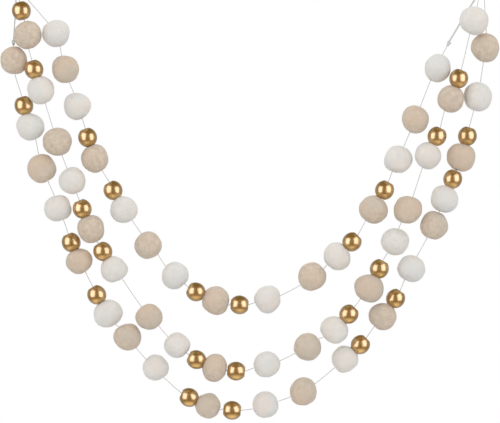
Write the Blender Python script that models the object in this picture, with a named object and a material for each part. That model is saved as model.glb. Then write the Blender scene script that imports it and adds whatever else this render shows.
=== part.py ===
"""A felt ball garland, hung back and forth in three swags from two pegs of one height.

One thin thread carries 77 balls in a repeating run of six: white felt, beige felt, white felt,
gold bead, beige felt, gold bead. It starts in a knotted loop over the right peg, hangs as the
short swag, passes over the left peg, hangs as the middle swag, passes over the right peg, hangs
as the long swag and ends in a knotted loop over the left peg.

The origin is where the thread bears on the left peg. +X runs along the span to the right, +Y
away from the viewer and +Z up. The pegs are what the garland hangs on, and aren't part of it.
"""

import math
from collections import namedtuple

import bmesh
import bpy
from mathutils import Matrix, Vector

MM = 0.001

# Driving sizes
SPAN = 405.5 * MM
PEG_THICK = 2.0 * MM
THREAD_THICK = 0.7 * MM
KNOT_THICK = 3.0 * MM
KNOT_LONG = 5.0 * MM
LOOP_SPREAD = 1.2 * MM
GOLD_ACROSS = 16.0 * MM
GOLD_ALONG = 15.0 * MM
GOLD_FLAT = 6.0 * MM
HOLE_WIDE = 2.4 * MM

# Clearances, and how much of a bend a ball takes from a bare stretch of thread beside it
TOUCH_GAP = 0.35 * MM
REST_WITHIN = 1.1 * MM
CLOSE_PAIR = 2.0 * MM
BEND_ROOM = 1.0 * MM

# Roundness: sides around the thread and balls, rings from one end of a ball to the other, and
# the step round a peg
SIDES = 10
SIDES_AS_BEVEL = 3
FELT_RINGS = (-64.0, -32.0, 0.0, 32.0, 64.0)
KNOT_RINGS = (-50.0, 0.0, 50.0)
GOLD_RINGS = (-33.0, 0.0, 33.0)
PEG_STEP = 30.0

# Over a peg two stretches of thread meet face to face: this much short of its top on each side
PEG_TOP = 90.0
SHORT_OF_TOP = 15.0

# The run of balls that repeats along the whole thread
RUN_OF_SIX = ("white", "beige", "white", "gold", "beige", "gold")

# Each row is one ball, in the order in which the thread passes through them, in millimetres:
# along the span from the left peg, out towards the viewer, and down from the pegs; then, for a
# felt ball, its width across the thread and its length along it.
Row = namedtuple("Row", "span out drop across along", defaults=(None, None))

SHORT_SWAG = (
    Row(367.0, 0.0, 70.5, 23.0, 24.0),
    Row(347.5, 0.5, 115.0, 24.0, 23.5),
    Row(332.5, 0.5, 150.0, 24.0, 23.0),
    Row(320.5, 0.0, 177.0),
    Row(311.0, 0.0, 193.5, 25.0, 24.0),
    Row(292.0, 0.5, 222.0),
    Row(279.0, 0.5, 234.5, 25.0, 22.0),
    Row(257.5, 0.0, 252.0, 24.0, 24.0),
    Row(219.0, 0.5, 271.5, 23.0, 23.0),
    Row(194.5, 0.5, 276.5),
    Row(174.0, 0.0, 273.0, 23.5, 23.5),
    Row(156.0, 0.0, 265.0),
    Row(138.5, 0.5, 251.0, 23.0, 22.5),
    Row(115.0, 0.0, 224.5, 23.0, 22.5),
    Row(93.5, 0.0, 193.5, 23.0, 23.0),
    Row(84.5, 0.5, 177.0),
    Row(68.5, 0.5, 149.0, 23.5, 23.5),
    Row(62.0, 0.0, 130.0),
    Row(53.0, 0.0, 103.5, 23.0, 23.0),
    Row(43.0, 0.5, 71.5, 23.5, 23.5),
    Row(35.0, 1.0, 40.5, 23.5, 23.0),
)
MIDDLE_SWAG = (
    Row(5.0, 4.0, 21.0),
    Row(10.5, 4.5, 42.0, 23.5, 24.0),
    Row(16.0, 4.0, 72.0),
    Row(22.0, 4.0, 90.0, 23.5, 23.5),
    Row(36.5, 3.5, 134.5, 24.0, 24.0),
    Row(49.0, 3.0, 168.5, 23.0, 23.0),
    Row(58.0, 3.0, 193.5),
    Row(65.5, 3.0, 210.5, 23.5, 23.5),
    Row(76.0, 3.0, 230.5),
    Row(85.5, 3.0, 245.5, 22.0, 22.0),
    Row(116.0, 3.0, 287.0, 23.0, 22.5),
    Row(140.0, 3.0, 311.5, 21.5, 21.5),
    Row(157.0, 3.0, 324.0),
    Row(173.0, 3.0, 331.0, 24.5, 20.0),
    Row(191.5, 3.0, 334.0),
    Row(218.0, 3.0, 328.0, 21.5, 23.0),
    Row(253.5, 3.0, 313.0, 23.0, 23.0),
    Row(277.0, 3.0, 298.0, 24.0, 22.0),
    Row(289.5, 3.0, 284.5),
    Row(307.0, 3.0, 262.0, 25.5, 23.5),
    Row(315.5, 3.0, 246.0),
    Row(329.5, 3.0, 221.5, 24.0, 23.0),
    Row(341.0, 3.0, 194.0, 24.0, 24.0),
    Row(358.0, 3.5, 146.5, 23.5, 22.0),
    Row(366.5, 4.0, 129.0),
    Row(378.0, 4.5, 97.5, 23.0, 23.0),
    Row(385.0, 5.0, 79.5),
    Row(398.0, 8.0, 30.0, 24.5, 24.0),
)
LONG_SWAG = (
    Row(408.5, -3.0, 52.5, 24.5, 24.5),
    Row(402.0, -3.0, 95.5, 24.5, 24.5),
    Row(393.0, -3.0, 129.5),
    Row(387.5, -3.0, 148.0, 24.5, 23.5),
    Row(380.0, -3.0, 167.5),
    Row(373.0, -3.0, 184.5, 24.5, 23.0),
    Row(363.5, -3.0, 207.5, 24.0, 24.0),
    Row(344.0, -3.0, 245.0, 23.5, 22.5),
    Row(330.5, -3.0, 271.0),
    Row(319.5, -3.0, 286.5, 23.5, 23.0),
    Row(299.5, -3.0, 311.5),
    Row(286.5, -3.0, 324.0, 23.0, 22.0),
    Row(250.0, -3.0, 352.0, 23.5, 23.5),
    Row(217.0, -3.0, 363.5, 22.0, 22.0),
    Row(188.0, -3.0, 368.5),
    Row(167.0, -3.0, 364.5, 21.5, 21.0),
    Row(150.0, -3.0, 357.0),
    Row(121.0, -3.0, 331.5, 22.0, 22.0),
    Row(97.0, -3.0, 304.5, 23.0, 23.0),
    Row(80.0, -3.0, 284.0, 24.5, 23.0),
    Row(70.5, -3.0, 268.5),
    Row(55.0, -3.0, 238.5, 23.0, 21.0),
    Row(48.0, -3.0, 222.5),
    Row(36.0, -3.0, 192.5, 24.0, 22.5),
    Row(22.0, -3.0, 158.0, 24.5, 24.5),
    Row(12.5, -3.0, 121.5, 23.5, 24.0),
    Row(6.5, -3.0, 102.5),
    Row(-2.0, -3.0, 63.5, 23.0, 23.5),
)

# Where each end loop is knotted, where its doubled thread passes behind the balls of the middle
# swag, and where on its peg it lies, in the same columns.
RIGHT_KNOT = Row(376.5, -1.0, 49.0)
RIGHT_BEHIND = Row(392.0, -4.5, 22.5)
RIGHT_LOOP_OUT = -2.0
LEFT_KNOT = Row(-2.4, -3.0, 48.0)
LEFT_BEHIND = Row(-1.2, -3.5, 20.0)
LEFT_LOOP_OUT = -2.0
CROSSING_OUT = 1.0

# One ball in its place: what it is, its middle, the way its hole points, and its two sizes
Ball = namedtuple("Ball", "kind middle hole across along")


def place(row):
    """The point that a row names, in metres in the part's frame."""
    return Vector((row.span, -row.out, -row.drop)) * MM


def hang(rows, first, before, after):
    """The balls of one swag: gold beads seated on the felt below, holes along the thread.

    first is how many balls come before this swag on the thread, and before and after are the
    points that its thread comes from and goes to.
    """
    kinds = [RUN_OF_SIX[(first + i) % len(RUN_OF_SIX)] for i in range(len(rows))]
    across = [(r.across or GOLD_ACROSS / MM) * MM for r in rows]
    along = [(r.along or GOLD_ALONG / MM) * MM for r in rows]
    middles = [place(r) for r in rows]
    for i, kind in enumerate(kinds):
        if kind == "gold":
            middles[i] = seat(middles, along, i)
    chain = [before] + middles + [after]
    halves = [0.0] + [a / 2 for a in along] + [0.0]
    holes = [thread_way(chain[i : i + 3], halves[i : i + 3]) for i in range(len(middles))]
    return [Ball(*ball) for ball in zip(kinds, middles, holes, across, along)]


def seat(middles, along, i):
    """Where gold bead i lies once it has slid down onto the felt ball below it."""
    near = [j for j in (i - 1, i + 1) if 0 <= j < len(middles)]
    below = min(near, key=lambda j: middles[j].z)
    away = middles[i] - middles[below]
    seated = (along[i] + along[below]) / 2 + TOUCH_GAP
    if away.length > seated + REST_WITHIN:
        return middles[i]
    return middles[below] + away.normalized() * seated


def thread_way(middles, halves):
    """The way that the thread runs through a ball, from its neighbours on both sides.

    The thread bends where it is bare, so the neighbour that lies closer counts for more.
    """
    come, go = middles[1] - middles[0], middles[2] - middles[1]
    bare_before = come.length - halves[0] - halves[1] + BEND_ROOM
    bare_after = go.length - halves[1] - halves[2] + BEND_ROOM
    return (come.normalized() * bare_after + go.normalized() * bare_before).normalized()


def mouths(ball):
    """Where the thread enters and leaves a ball."""
    half = ball.hole * (ball.along / 2)
    return ball.middle - half, ball.middle + half


def peg_middle(span, out):
    """The middle of a peg, at the depth of one thread on it."""
    return Vector((span, -out * MM, -PEG_THICK / 2))


def leaving_angle(peg, goal, side):
    """The angle round a peg, in degrees from +X to +Z, at which a taut thread leaves for goal."""
    way = goal - peg
    reach = math.hypot(way.x, way.z)
    bearing = math.atan2(way.z, way.x)
    return math.degrees(bearing + side * math.acos((PEG_THICK + THREAD_THICK) / 2 / reach))


def over_peg(peg, start, end):
    """Points round a peg from one angle to another, both included."""
    count = max(1, round(abs(end - start) / PEG_STEP))
    radius = (PEG_THICK + THREAD_THICK) / 2
    angles = [math.radians(start + (end - start) * i / count) for i in range(count + 1)]
    return [peg + Vector((math.cos(a), 0, math.sin(a))) * radius for a in angles]


def swag_thread(balls):
    """The thread through a swag, as (point, radius): it swells into each white ball."""
    route = []
    ends = [mouths(ball) for ball in balls]
    for i, ball in enumerate(balls):
        enter, leave = ends[i]
        if i and (enter - ends[i - 1][1]).length < CLOSE_PAIR:
            route[-1] = ((enter + ends[i - 1][1]) / 2, THREAD_THICK / 2)
        else:
            route.append((enter, THREAD_THICK / 2))
        if ball.kind == "white":
            route += swelling(ball.middle, ball.hole, ball.across, ball.along, FELT_RINGS)
        route.append((leave, THREAD_THICK / 2))
    return route


def swelling(middle, way, across, along, rings):
    """The rings of a round body that the thread runs into, such as a ball or a knot."""
    return [
        (
            middle + way * (along / 2 * math.sin(math.radians(ring))),
            across / 2 * math.cos(math.radians(ring)),
        )
        for ring in rings
    ]


def bare(points):
    """Points of plain thread."""
    return [(point, THREAD_THICK / 2) for point in points]


def end_loop(knot_row, behind_row, peg, last):
    """The knot and the doubled thread of an end loop, from the knot outwards.

    The thread leaves the knot, goes up behind the middle swag, over the peg and back, and stops
    just clear of the knot that holds it.
    """
    knot, behind = place(knot_row), place(behind_row)
    up = (behind - knot).normalized()
    aside = up.cross(Vector((0, 1, 0))).normalized()
    half_knot = up * (KNOT_LONG / 2)
    side = 1 if aside.x > 0 else -1
    go = leaving_angle(peg, behind, -side)
    back = leaving_angle(peg, behind, side)
    if side > 0:
        go += 360
    start = (last - knot).normalized() * (KNOT_LONG / 2)
    return (
        bare([knot + start])
        + swelling(knot, up, KNOT_THICK, KNOT_LONG, KNOT_RINGS)
        + bare([knot + half_knot])
        + bare([behind - aside * (LOOP_SPREAD / 2)])
        + bare(over_peg(peg, go, back))
        + bare([behind + aside * (LOOP_SPREAD / 2)])
        + bare([knot + half_knot + aside * LOOP_SPREAD + up * TOUCH_GAP])
    )


def material(name, colour, roughness, metallic=0.0):
    """A plain material of one colour."""
    made = bpy.data.materials.new(name)
    made.use_nodes = True
    shader = made.node_tree.nodes["Principled BSDF"]
    shader.inputs["Base Color"].default_value = (*colour, 1.0)
    shader.inputs["Roughness"].default_value = roughness
    shader.inputs["Metallic"].default_value = metallic
    return made


def strung_thread(name, route, finish):
    """One stretch of thread and the white balls on it, as a bevelled curve of varying radius."""
    curve = bpy.data.curves.new(name, "CURVE")
    curve.dimensions = "3D"
    curve.bevel_depth = 1.0
    curve.bevel_resolution = SIDES_AS_BEVEL
    curve.use_fill_caps = True
    curve.render_resolution_u = 0
    line = curve.splines.new("POLY")
    line.points.add(len(route) - 1)
    for point, (at, radius) in zip(line.points, route):
        point.co = (*at, 1.0)
        point.radius = radius
    line.use_smooth = True
    curve.materials.append(finish)
    thing = bpy.data.objects.new(name, curve)
    bpy.context.collection.objects.link(thing)
    return thing


def turned(name, half_profile, finish):
    """A mesh turned about Z from the upper half of a closed profile of (radius, height)."""
    profile = half_profile + [(r, -z) for r, z in reversed(half_profile) if z > 0]
    mesh = bpy.data.meshes.new(name)
    work = bmesh.new()
    corners = [work.verts.new((r, 0, z)) for r, z in profile]
    edges = [work.edges.new(pair) for pair in zip(corners, corners[1:] + corners[:1])]
    bmesh.ops.spin(
        work,
        geom=corners + edges,
        axis=(0, 0, 1),
        cent=(0, 0, 0),
        angle=math.tau,
        steps=SIDES,
        use_merge=True,
    )
    bmesh.ops.recalc_face_normals(work, faces=work.faces[:])
    work.to_mesh(mesh)
    work.free()
    mesh.shade_smooth()
    mesh.materials.append(finish)
    return mesh


def felt_profile(across, along):
    """The upper half of a pierced felt ball's profile."""
    hole = HOLE_WIDE / 2
    mouth = along / 2 * math.sqrt(1 - (hole / (across / 2)) ** 2)
    upper = [math.radians(ring) for ring in FELT_RINGS[::-1] if ring >= 0]
    curve = [(across / 2 * math.cos(a), along / 2 * math.sin(a)) for a in upper]
    return [(hole, mouth)] + curve


def bead_profile():
    """The upper half of a gold bead's profile: round, with a small flat at its hole."""
    upper = [math.radians(ring) for ring in GOLD_RINGS[::-1] if ring >= 0]
    curve = [(GOLD_ACROSS / 2 * math.cos(a), GOLD_ACROSS / 2 * math.sin(a)) for a in upper]
    flat = [(HOLE_WIDE / 2, GOLD_ALONG / 2), (GOLD_FLAT / 2, GOLD_ALONG / 2)]
    return flat + curve


def put(name, mesh, ball):
    """Puts a turned piece in its place, with its hole along the thread."""
    thing = bpy.data.objects.new(name, mesh)
    turn = Vector((0, 0, 1)).rotation_difference(ball.hole).to_matrix().to_4x4()
    thing.matrix_world = Matrix.Translation(ball.middle) @ turn
    bpy.context.collection.objects.link(thing)
    return thing


def clear_scene():
    """Starts from an empty scene."""
    for thing in list(bpy.data.objects):
        bpy.data.objects.remove(thing, do_unlink=True)


def main():
    """Builds the garland."""
    clear_scene()
    white = material("white felt", (0.73, 0.70, 0.66), 1.0)
    beige = material("beige felt", (0.61, 0.49, 0.37), 1.0)
    gold = material("gold paint", (0.60, 0.38, 0.13), 0.35, 1.0)

    left_crossing = peg_middle(0.0, CROSSING_OUT)
    right_crossing = peg_middle(SPAN, CROSSING_OUT)
    left_loop = peg_middle(0.0, LEFT_LOOP_OUT)
    right_loop = peg_middle(SPAN, RIGHT_LOOP_OUT)

    short = hang(SHORT_SWAG, 0, place(RIGHT_KNOT), left_crossing)
    middle = hang(MIDDLE_SWAG, len(short), left_crossing, right_crossing)
    long = hang(LONG_SWAG, len(short) + len(middle), right_crossing, place(LEFT_KNOT))

    short_off = leaving_angle(left_crossing, mouths(short[-1])[1], 1)
    middle_on = leaving_angle(left_crossing, mouths(middle[0])[0], -1) + 360
    middle_off = leaving_angle(right_crossing, mouths(middle[-1])[1], -1) + 360
    long_on = leaving_angle(right_crossing, mouths(long[0])[0], 1)

    right_end = end_loop(RIGHT_KNOT, RIGHT_BEHIND, right_loop, mouths(short[0])[0])
    left_end = end_loop(LEFT_KNOT, LEFT_BEHIND, left_loop, mouths(long[-1])[1])
    routes = {
        "short_swag": right_end[::-1]
        + swag_thread(short)
        + bare(over_peg(left_crossing, short_off, PEG_TOP - SHORT_OF_TOP)),
        "middle_swag": bare(over_peg(left_crossing, PEG_TOP + SHORT_OF_TOP, middle_on))
        + swag_thread(middle)
        + bare(over_peg(right_crossing, middle_off, PEG_TOP + SHORT_OF_TOP)),
        "long_swag": bare(over_peg(right_crossing, PEG_TOP - SHORT_OF_TOP, long_on))
        + swag_thread(long)
        + left_end,
    }
    for swag, route in routes.items():
        strung_thread(f"thread_and_white_balls_{swag}", route, white)

    bead = turned("gold bead", bead_profile(), gold)
    loose = [ball for ball in short + middle + long if ball.kind != "white"]
    for i, ball in enumerate([ball for ball in loose if ball.kind == "beige"], start=1):
        mesh = turned("beige ball", felt_profile(ball.across, ball.along), beige)
        put(f"beige_ball_{i:02d}", mesh, ball)
    for i, ball in enumerate([ball for ball in loose if ball.kind == "gold"], start=1):
        put(f"gold_bead_{i:02d}", bead, ball)


main()
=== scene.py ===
# %% [markdown]
# # A felt ball garland, made piece by piece
#
# The garland is one thin thread with 77 balls on it: white felt, beige felt and gold painted wooden
# beads. It hangs back and forth in three swags between two pegs of one height. This script makes
# its looks as a maker would: the thread first, then the felt balls, then the beads. Each step first
# tells what the piece is on the real garland and how else it could be made.

import math
from collections import namedtuple

import bpy
import numpy as np
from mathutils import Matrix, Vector


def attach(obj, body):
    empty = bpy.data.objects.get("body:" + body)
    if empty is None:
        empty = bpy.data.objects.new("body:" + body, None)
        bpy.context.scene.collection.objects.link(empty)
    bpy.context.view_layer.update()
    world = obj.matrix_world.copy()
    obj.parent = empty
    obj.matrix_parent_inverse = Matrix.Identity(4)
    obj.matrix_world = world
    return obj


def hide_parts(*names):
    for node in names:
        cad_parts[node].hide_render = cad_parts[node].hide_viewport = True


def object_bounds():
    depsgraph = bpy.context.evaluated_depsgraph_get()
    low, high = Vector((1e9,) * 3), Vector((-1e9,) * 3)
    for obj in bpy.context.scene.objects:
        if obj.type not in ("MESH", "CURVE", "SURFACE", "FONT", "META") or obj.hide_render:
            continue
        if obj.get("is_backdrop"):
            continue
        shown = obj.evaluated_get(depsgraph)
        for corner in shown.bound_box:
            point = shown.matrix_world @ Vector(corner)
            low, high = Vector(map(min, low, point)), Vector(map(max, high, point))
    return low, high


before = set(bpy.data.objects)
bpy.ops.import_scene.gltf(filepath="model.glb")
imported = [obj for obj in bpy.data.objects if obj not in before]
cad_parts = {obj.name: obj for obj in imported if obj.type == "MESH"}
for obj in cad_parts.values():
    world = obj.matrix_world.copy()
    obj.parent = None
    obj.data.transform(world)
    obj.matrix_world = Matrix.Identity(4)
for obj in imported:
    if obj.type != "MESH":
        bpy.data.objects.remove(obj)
cad_low, cad_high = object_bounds()
MM = 0.001
print("CAD box in mm:", [round((b - a) / MM, 1) for a, b in zip(cad_low, cad_high)])

# %% [markdown]
# ## The camera
#
# A flat, straight-on product view comes from a long lens far away, so that the left and right balls
# are seen from the same side as the middle ones. A parallel (orthographic) camera would be flatter
# still, but a real camera has some perspective, so a perspective one with a long lens is used.

# %% Camera
# A new camera looks straight down, and a quarter turn makes it look level, along +Y.
VIEW_MIDDLE = Vector((203.6, 0.0, -195.3)) * MM
VIEW_WIDE = 435.0 * MM
CAMERA_AWAY = 2.5
CAMERA_SIGHT = 20.0
FILM_WIDE = 36.0

camera_data = bpy.data.cameras.new("camera")
camera_data.sensor_width = FILM_WIDE
camera_data.lens = FILM_WIDE * CAMERA_AWAY / VIEW_WIDE
camera_data.clip_end = CAMERA_SIGHT
camera_data.dof.use_dof = False
camera = bpy.data.objects.new("camera", camera_data)
camera.location = VIEW_MIDDLE + Vector((0.0, -CAMERA_AWAY, 0.0))
camera.rotation_euler = (math.radians(90.0), 0.0, 0.0)
bpy.context.collection.objects.link(camera)
bpy.context.scene.camera = camera
bpy.context.scene.view_settings.view_transform = "Standard"
print("lens in mm:", round(camera_data.lens, 1))

# %% [markdown]
# ## Where every ball hangs
#
# On the real garland the balls find their own places: each slides on the thread until it rests on
# its neighbour or is held by the tight hole through the felt. A physics simulation could hang them,
# but then they wouldn't hang as in the photo. So each ball has a row in a short table, with its
# place in millimetres, and functions work out from the rows which way its hole points.

# %% Sizes of the garland
SPAN = 405.5 * MM
PEG_THICK = 2.0 * MM
THREAD_THICK = 0.7 * MM
KNOT_THICK = 3.3 * MM
KNOT_LONG = 5.3 * MM
GOLD_ACROSS = 16.5 * MM
GOLD_ALONG = 15.3 * MM

# The run of balls that repeats along the whole thread
RUN_OF_SIX = ("white", "beige", "white", "gold", "beige", "gold")
print("from peg to peg in mm:", round(SPAN / MM, 1))

# %% The short swag
# Each row is one ball, in millimetres: along the span from the left peg, out towards the viewer,
# and down from the pegs; then, for a felt ball, its width across the thread and length along it.
# Felt is pierced by hand, so the last two columns tell how far off its middle the thread enters
# and leaves it: to the right-hand side of the way that the thread goes, or to the left if negative.
Row = namedtuple("Row", "span out drop across along enter leave", defaults=(None, None, 0.0, 0.0))

SHORT_SWAG = (
    Row(367.0, 0.0, 70.5, 23.0, 24.0, 1.0, 1.5),
    Row(347.5, 0.5, 115.0, 24.0, 23.5, 0.5, 0.0),
    Row(332.5, 0.5, 150.0, 24.0, 23.0, 0.0, 0.5),
    Row(320.5, 0.0, 177.0),
    Row(311.0, 0.0, 193.5, 25.0, 24.0, 0.0, 1.0),
    Row(292.0, 0.5, 222.0),
    Row(279.0, 0.5, 234.5, 25.0, 22.0, 0.0, 0.5),
    Row(257.5, 0.0, 252.0, 24.0, 24.0, -0.5, 0.0),
    Row(219.0, 0.5, 271.5, 23.0, 23.0),
    Row(194.5, 0.5, 276.5),
    Row(174.0, 0.0, 273.0, 23.5, 23.5),
    Row(156.0, 0.0, 265.0),
    Row(138.5, 0.5, 251.0, 23.0, 22.5, 0.0, 0.5),
    Row(115.0, 0.0, 224.5, 23.0, 22.5, 1.5, 1.5),
    Row(93.5, 0.0, 193.5, 23.0, 23.0, 2.0, 0.0),
    Row(84.5, 0.5, 177.0),
    Row(68.5, 0.5, 149.0, 23.5, 23.5, 2.5, 0.0),
    Row(62.0, 0.0, 130.0),
    Row(53.0, 0.0, 103.5, 23.0, 23.0, 1.0, 1.0),
    Row(43.0, 0.5, 71.5, 23.5, 23.5),
    Row(35.0, 1.0, 40.5, 23.5, 23.0, -0.5, -3.5),
)
print("balls on the short swag:", len(SHORT_SWAG))

# %% The middle swag
MIDDLE_SWAG = (
    Row(5.0, 4.0, 21.0),
    Row(10.5, 4.5, 42.0, 23.5, 24.0, 0.0, 2.0),
    Row(16.0, 4.0, 72.0),
    Row(22.0, 4.0, 90.0, 23.5, 23.5),
    Row(36.5, 3.5, 134.5, 24.0, 24.0, 0.0, 0.5),
    Row(49.0, 3.0, 168.5, 23.0, 23.0, 0.5, 0.0),
    Row(58.0, 3.0, 193.5),
    Row(65.5, 3.0, 210.5, 23.5, 23.5),
    Row(76.0, 3.0, 230.5),
    Row(85.5, 3.0, 245.5, 22.0, 22.0, 0.0, -1.5),
    Row(116.0, 3.0, 287.0, 23.0, 22.5, -1.0, -1.0),
    Row(140.0, 3.0, 311.5, 21.5, 21.5, -1.0, 0.0),
    Row(157.0, 3.0, 324.0),
    Row(173.0, 3.0, 331.0, 24.5, 20.0),
    Row(191.5, 3.0, 334.0),
    Row(218.0, 3.0, 328.0, 21.5, 23.0, 0.0, 0.5),
    Row(253.5, 3.0, 313.0, 23.0, 23.0, -0.5, -1.5),
    Row(277.0, 3.0, 298.0, 24.0, 22.0, -2.0, 0.0),
    Row(289.5, 3.0, 284.5),
    Row(307.0, 3.0, 262.0, 25.5, 23.5, -2.0, 0.0),
    Row(315.5, 3.0, 246.0),
    Row(329.5, 3.0, 221.5, 24.0, 23.0, -1.5, -2.0),
    Row(341.0, 3.0, 194.0, 24.0, 24.0, -1.5, -0.5),
    Row(358.0, 3.5, 146.5, 23.5, 22.0, 0.5, 0.0),
    Row(366.5, 4.0, 129.0),
    Row(378.0, 4.5, 97.5, 23.0, 23.0, -1.5, 0.0),
    Row(385.0, 5.0, 79.5),
    Row(398.0, 8.0, 30.0, 24.5, 24.0, -1.0, -0.5),
)
print("balls on the middle swag:", len(MIDDLE_SWAG))

# %% The long swag
LONG_SWAG = (
    Row(408.5, -3.0, 52.5, 24.5, 24.5, 0.0, 0.5),
    Row(402.0, -3.0, 95.5, 24.5, 24.5, 0.5, 1.0),
    Row(393.0, -3.0, 129.5),
    Row(387.5, -3.0, 148.0, 24.5, 23.5),
    Row(380.0, -3.0, 167.5),
    Row(373.0, -3.0, 184.5, 24.5, 23.0),
    Row(363.5, -3.0, 207.5, 24.0, 24.0, 0.0, 1.0),
    Row(344.0, -3.0, 245.0, 23.5, 22.5, 0.5, 0.5),
    Row(330.5, -3.0, 271.0),
    Row(319.5, -3.0, 286.5, 23.5, 23.0, 0.0, 1.0),
    Row(299.5, -3.0, 311.5),
    Row(286.5, -3.0, 324.0, 23.0, 22.0, 0.0, 1.0),
    Row(250.0, -3.0, 352.0, 23.5, 23.5, 1.5, 0.5),
    Row(217.0, -3.0, 363.5, 22.0, 22.0, 0.0, -1.0),
    Row(188.0, -3.0, 368.5),
    Row(167.0, -3.0, 364.5, 21.5, 21.0),
    Row(150.0, -3.0, 357.0),
    Row(121.0, -3.0, 331.5, 22.0, 22.0, -0.5, -0.5),
    Row(97.0, -3.0, 304.5, 23.0, 23.0, -0.5, 0.0),
    Row(80.0, -3.0, 284.0, 24.5, 23.0),
    Row(70.5, -3.0, 268.5),
    Row(55.0, -3.0, 238.5, 23.0, 21.0, 1.0, 0.0),
    Row(48.0, -3.0, 222.5),
    Row(36.0, -3.0, 192.5, 24.0, 22.5, 1.0, 1.5),
    Row(22.0, -3.0, 158.0, 24.5, 24.5, 2.0, 1.5),
    Row(12.5, -3.0, 121.5, 23.5, 24.0, 1.0, 0.0),
    Row(6.5, -3.0, 102.5),
    Row(-2.0, -3.0, 63.5, 23.0, 23.5),
)
print("balls on the long swag:", len(LONG_SWAG))

# %% The two end loops
# Where each end loop is knotted, and where its doubled thread passes behind the middle swag, in the
# columns of the balls. Then how far out on its peg it lies, and by how many degrees its two threads
# are turned: side by side at 0, one behind the other at 90.
EndLoop = namedtuple("EndLoop", "knot behind out turn")
RIGHT_LOOP = EndLoop(Row(376.5, -1.0, 49.0), Row(392.0, -4.5, 22.5), -2.0, 0.0)
LEFT_LOOP = EndLoop(Row(-2.4, -3.0, 48.0), Row(-0.5, -3.5, 20.0), -2.0, 60.0)

# How far out on each peg the thread lies where one swag passes over to the next
CROSSING_OUT = 1.0


def place(row):
    """The point that a row names, in metres."""
    return Vector((row.span, -row.out, -row.drop)) * MM


def peg_middle(span, out):
    """The middle of a peg, at the depth of one thread on it."""
    return Vector((span, -out * MM, -PEG_THICK / 2))


left_crossing = peg_middle(0.0, CROSSING_OUT)
right_crossing = peg_middle(SPAN, CROSSING_OUT)
left_loop_peg = peg_middle(0.0, LEFT_LOOP.out)
right_loop_peg = peg_middle(SPAN, RIGHT_LOOP.out)
for side, loop in (("left", LEFT_LOOP), ("right", RIGHT_LOOP)):
    print(side, "knot below its peg in mm:", loop.knot.drop)

# %% Gold beads slide down onto the felt below them
# A bead whose row leaves it nearly resting is moved until it rests, sunk a little into the felt.
SINK = 0.25 * MM
REST_WITHIN = 1.1 * MM


def seat(middles, along, i):
    """Where gold bead i lies once it has slid down onto the felt ball below it."""
    near = [j for j in (i - 1, i + 1) if 0 <= j < len(middles)]
    below = min(near, key=lambda j: middles[j].z)
    away = middles[i] - middles[below]
    seated = (along[i] + along[below]) / 2 - SINK
    if away.length > seated + REST_WITHIN:
        return middles[i]
    return middles[below] + away.normalized() * seated


print("a seated bead sinks into the felt by mm:", SINK / MM)

# %% The hole through each ball
# The thread runs off the middle of a gold bead's wide hole by its slack. The room for a bend is
# added to each bare stretch of thread, so that two balls that touch still share their bend.
GOLD_SLACK = 0.7 * MM
BEND_ROOM = 1.0 * MM

# One ball in its place: what it is, its middle, the way its hole points, its two sizes, and the
# points where the thread enters and leaves it
Ball = namedtuple("Ball", "kind middle hole across along enter leave")


def thread_way(middles, halves):
    """The way that the thread runs through a ball: the nearer neighbour counts for more."""
    come, go = middles[1] - middles[0], middles[2] - middles[1]
    bare_before = come.length - halves[0] - halves[1] + BEND_ROOM
    bare_after = go.length - halves[1] - halves[2] + BEND_ROOM
    return (come.normalized() * bare_after + go.normalized() * bare_before).normalized()


def mouth(middle_point, way, size, end, aside):
    """Where the thread enters (end -1) or leaves (end 1) a ball of size (across, along)."""
    across, along = size
    reach = along / 2 * math.sqrt(1 - (2 * aside / across) ** 2)
    return middle_point + way * (end * reach) + Vector((way.z, 0, -way.x)) * aside


def hang(rows, first, before, after):
    """The balls of one swag, whose thread comes from one point and goes to another."""
    kinds = [RUN_OF_SIX[(first + i) % len(RUN_OF_SIX)] for i in range(len(rows))]
    across = [(r.across or GOLD_ACROSS / MM) * MM for r in rows]
    along = [(r.along or GOLD_ALONG / MM) * MM for r in rows]
    middles = [place(r) for r in rows]
    for i, kind in enumerate(kinds):
        if kind == "gold":
            middles[i] = seat(middles, along, i)
    chain = [before] + middles + [after]
    halves = [0.0] + [a / 2 for a in along] + [0.0]
    hung = []
    for i, row in enumerate(rows):
        way = thread_way(chain[i : i + 3], halves[i : i + 3])
        enter, leave = row.enter * MM, row.leave * MM
        if kinds[i] == "gold":
            enter = leave = math.copysign(GOLD_SLACK, -way.x)
        size = (across[i], along[i])
        enter = mouth(middles[i], way, size, -1, enter)
        leave = mouth(middles[i], way, size, 1, leave)
        hung.append(Ball(kinds[i], middles[i], way, *size, enter, leave))
    return hung


# %% Hang the balls of the three swags
short = hang(SHORT_SWAG, 0, place(RIGHT_LOOP.knot), left_crossing)
middle = hang(MIDDLE_SWAG, len(short), left_crossing, right_crossing)
long = hang(LONG_SWAG, len(short) + len(middle), right_crossing, place(LEFT_LOOP.knot))
balls = short + middle + long
print("balls:", {kind: sum(b.kind == kind for b in balls) for kind in ("white", "beige", "gold")})

# %% [markdown]
# ## The way of the thread
#
# On the real garland one limp thread runs from loop to loop through every ball. Between two balls it
# bends softly from one hole to the next, and over a peg it lies on a curve. A curve object could
# follow it, with handles set by hand at each ball. Here its way is worked out as points from the
# balls and the pegs, so that it still fits when a ball is moved.

# %% The thread over a peg
PEG_STEP = 10.0

# How far the middle of the thread lies from the middle of a peg that it bears on
ON_PEG = (PEG_THICK + THREAD_THICK) / 2


def leaving_angle(peg, goal, side):
    """The angle round a peg, in degrees from +X to +Z, at which a taut thread leaves for goal."""
    way = goal - peg
    reach = math.hypot(way.x, way.z)
    bearing = math.atan2(way.z, way.x)
    return math.degrees(bearing + side * math.acos(ON_PEG / reach))


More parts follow.
